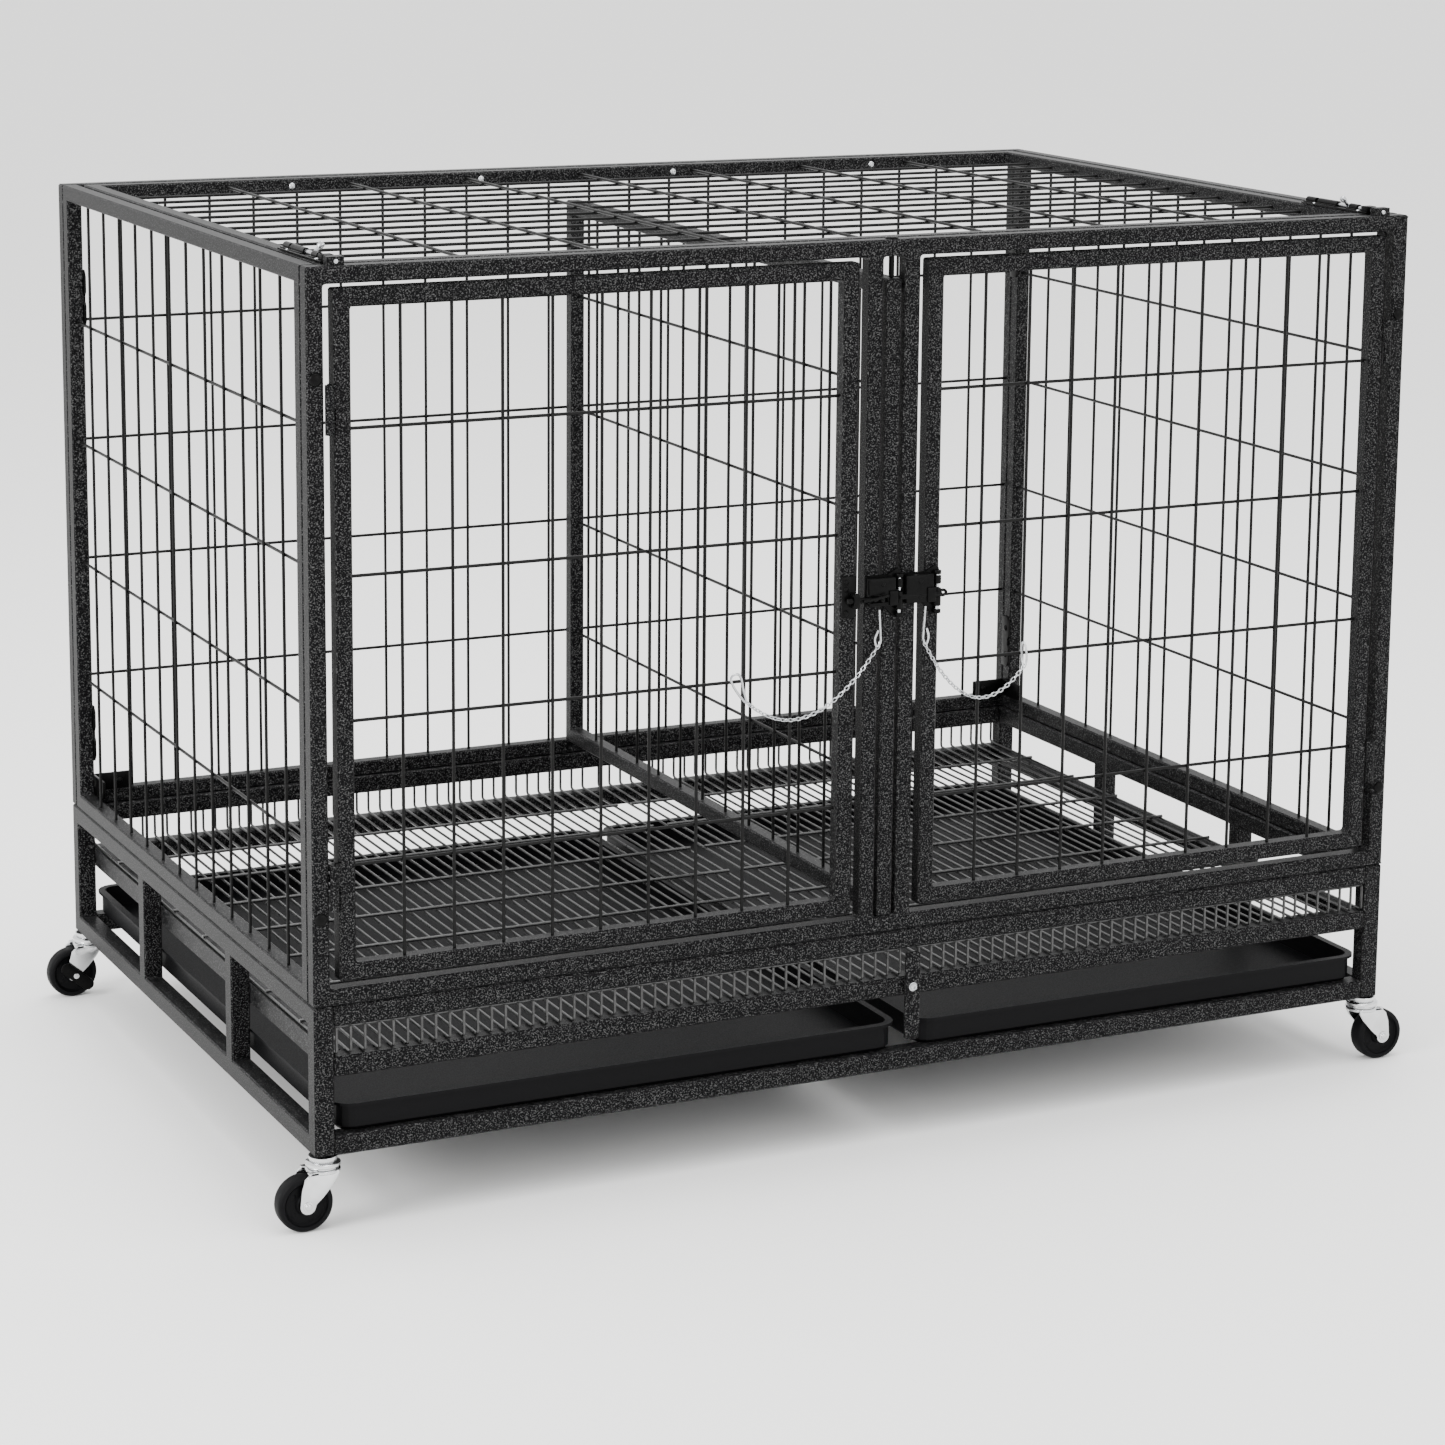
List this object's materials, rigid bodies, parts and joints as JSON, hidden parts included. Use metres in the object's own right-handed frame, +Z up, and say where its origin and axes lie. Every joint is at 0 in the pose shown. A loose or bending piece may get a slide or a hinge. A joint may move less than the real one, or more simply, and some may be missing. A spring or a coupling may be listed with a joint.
{
  "type": "wire dog crate",
  "caption": "Black hammertone steel-tube dog crate with wire panels, twin front doors, a divider, a hinged roof, pull-out trays and swivel casters.",
  "frame": {"origin": "floor level under the middle of the whole crate, latch knobs and casters included", "axes": "+X to the right along the front, +Y to the back, +Z up"},
  "size_m": [1.166, 0.755, 0.8505],
  "materials": {
    "hammertone": "hammertone",
    "black_wire": "satin",
    "black_plastic": "matte",
    "black_paint": "satin",
    "chrome": "polished",
    "zinc": "bright zinc",
    "wheel": "satin"
  },
  "bodies": {
    "crate": {"back_frame": "hammertone", "back_left_caster_stem": "chrome", "back_mesh": "black_wire", "back_right_caster_stem": "chrome", "base_back_bottom_rail": "hammertone", "base_back_middle_rail": "hammertone", "base_back_top_rail": "hammertone", "base_front_bottom_rail": "hammertone", "base_front_middle_rail": "hammertone", "base_front_top_rail": "hammertone", "base_left_end": "hammertone", "base_right_end": "hammertone", "front_frame": "hammertone", "front_left_caster_stem": "chrome", "front_right_caster_stem": "chrome", "left_door_pin_lower": "hammertone", "left_door_pin_upper": "hammertone", "left_latch_plate": "black_paint", "left_panel_frame": "hammertone", "left_panel_mesh": "black_wire", "right_door_pin_lower": "hammertone", "right_door_pin_upper": "hammertone", "right_panel_frame": "hammertone", "right_panel_mesh": "black_wire", "strap_bolt": "zinc"},
    "left_door": {"left_door_frame": "hammertone", "left_door_mesh": "black_wire", "left_latch_bracket": "black_paint", "left_chain": "zinc"},
    "left_latch_bolt": {"left_latch_bolt": "black_paint"},
    "left_roof_bolt": {"left_roof_bolt": "zinc"},
    "left_tray": {"left_tray": "black_plastic"},
    "left_grate": {"left_grate": "black_wire"},
    "left_brake_lever": {"left_brake_lever": "black_paint"},
    "right_door": {"right_door_frame": "hammertone", "right_door_mesh": "black_wire", "right_latch_plate": "black_paint", "right_chain": "zinc"},
    "right_latch_bolt": {"right_latch_bolt": "black_paint"},
    "right_roof_bolt": {"right_roof_bolt": "zinc"},
    "right_tray": {"right_tray": "black_plastic"},
    "right_grate": {"right_grate": "black_wire"},
    "right_brake_lever": {"right_brake_lever": "black_paint"},
    "roof": {"roof_frame": "hammertone", "roof_mesh": "black_wire", "left_roof_bolt_housing": "black_paint", "right_roof_bolt_housing": "black_paint"},
    "divider": {"divider_frame": "hammertone", "divider_mesh": "black_wire", "divider_bolt": "black_paint"},
    "tray_strap": {"tray_strap": "hammertone"},
    "front_left_fork": {"front_left_caster_fork": "chrome"},
    "front_left_wheel": {"front_left_caster_wheel": "wheel"},
    "front_right_fork": {"front_right_caster_fork": "chrome"},
    "front_right_wheel": {"front_right_caster_wheel": "wheel"},
    "back_left_fork": {"back_left_caster_fork": "chrome"},
    "back_left_wheel": {"back_left_caster_wheel": "wheel"},
    "back_right_fork": {"back_right_caster_fork": "chrome"},
    "back_right_wheel": {"back_right_caster_wheel": "wheel"}
  },
  "joints": [
    {"name": "left_door_hinge", "type": "hinge", "parent": "crate", "child": "left_door", "pos_m": [-0.5305, -0.364, 0.5], "axis": [0, 0, -1], "range_deg": [0, 120]},
    {"name": "left_latch_slide", "type": "slide", "parent": "crate", "child": "left_latch_bolt", "axis": [1, 0, 0], "range_m": [0, 0.0125]},
    {"name": "left_roof_bolt_slide", "type": "slide", "parent": "roof", "child": "left_roof_bolt", "axis": [0, 1, 0], "range_m": [0, 0.013]},
    {"name": "left_tray_slide", "type": "slide", "parent": "crate", "child": "left_tray", "axis": [0, -1, 0], "range_m": [0, 0.6]},
    {"name": "left_grate_slide", "type": "slide", "parent": "crate", "child": "left_grate", "axis": [0, -1, 0], "range_m": [0, 0.6]},
    {"name": "right_door_hinge", "type": "hinge", "parent": "crate", "child": "right_door", "pos_m": [0.5305, -0.364, 0.5], "axis": [0, 0, 1], "range_deg": [0, 120]},
    {"name": "right_latch_slide", "type": "slide", "parent": "right_door", "child": "right_latch_bolt", "axis": [1, 0, 0], "range_m": [0, 0.0125]},
    {"name": "right_roof_bolt_slide", "type": "slide", "parent": "roof", "child": "right_roof_bolt", "axis": [0, 1, 0], "range_m": [0, 0.013]},
    {"name": "right_tray_slide", "type": "slide", "parent": "crate", "child": "right_tray", "axis": [0, -1, 0], "range_m": [0, 0.6]},
    {"name": "right_grate_slide", "type": "slide", "parent": "crate", "child": "right_grate", "axis": [0, -1, 0], "range_m": [0, 0.6]},
    {"name": "roof_hinge", "type": "hinge", "parent": "crate", "child": "roof", "pos_m": [0, 0.3445, 0.8285], "axis": [-1, 0, 0], "range_deg": [0, 100]},
    {"name": "divider_lift", "type": "slide", "parent": "crate", "child": "divider", "axis": [0, 0, 1], "range_m": [0, 0.018]},
    {"name": "strap_turn", "type": "hinge", "parent": "crate", "child": "tray_strap", "pos_m": [0.028, -0.363, 0.146], "axis": [0, 1, 0], "range_deg": [-90, 90]},
    {"name": "front_left_swivel", "type": "hinge", "parent": "crate", "child": "front_left_fork", "pos_m": [-0.54, -0.353, 0.055], "axis": [0, 0, 1], "continuous": true},
    {"name": "front_left_wheel_spin", "type": "hinge", "parent": "front_left_fork", "child": "front_left_wheel", "pos_m": [-0.558, -0.353, 0.025], "axis": [0, 1, 0], "continuous": true},
    {"name": "front_right_swivel", "type": "hinge", "parent": "crate", "child": "front_right_fork", "pos_m": [0.54, -0.353, 0.055], "axis": [0, 0, 1], "continuous": true},
    {"name": "front_right_wheel_spin", "type": "hinge", "parent": "front_right_fork", "child": "front_right_wheel", "pos_m": [0.558, -0.353, 0.025], "axis": [0, 1, 0], "continuous": true},
    {"name": "back_left_swivel", "type": "hinge", "parent": "crate", "child": "back_left_fork", "pos_m": [-0.54, 0.362, 0.055], "axis": [0, 0, 1], "continuous": true},
    {"name": "back_left_wheel_spin", "type": "hinge", "parent": "back_left_fork", "child": "back_left_wheel", "pos_m": [-0.558, 0.362, 0.025], "axis": [0, 1, 0], "continuous": true},
    {"name": "left_brake", "type": "hinge", "parent": "back_left_fork", "child": "left_brake_lever", "pos_m": [-0.558, 0.362, 0.025], "axis": [0, 1, 0], "range_deg": [-20, 20]},
    {"name": "back_right_swivel", "type": "hinge", "parent": "crate", "child": "back_right_fork", "pos_m": [0.54, 0.362, 0.055], "axis": [0, 0, 1], "continuous": true},
    {"name": "back_right_wheel_spin", "type": "hinge", "parent": "back_right_fork", "child": "back_right_wheel", "pos_m": [0.558, 0.362, 0.025], "axis": [0, 1, 0], "continuous": true},
    {"name": "right_brake", "type": "hinge", "parent": "back_right_fork", "child": "right_brake_lever", "pos_m": [0.558, 0.362, 0.025], "axis": [0, 1, 0], "range_deg": [-20, 20]}
  ]
}
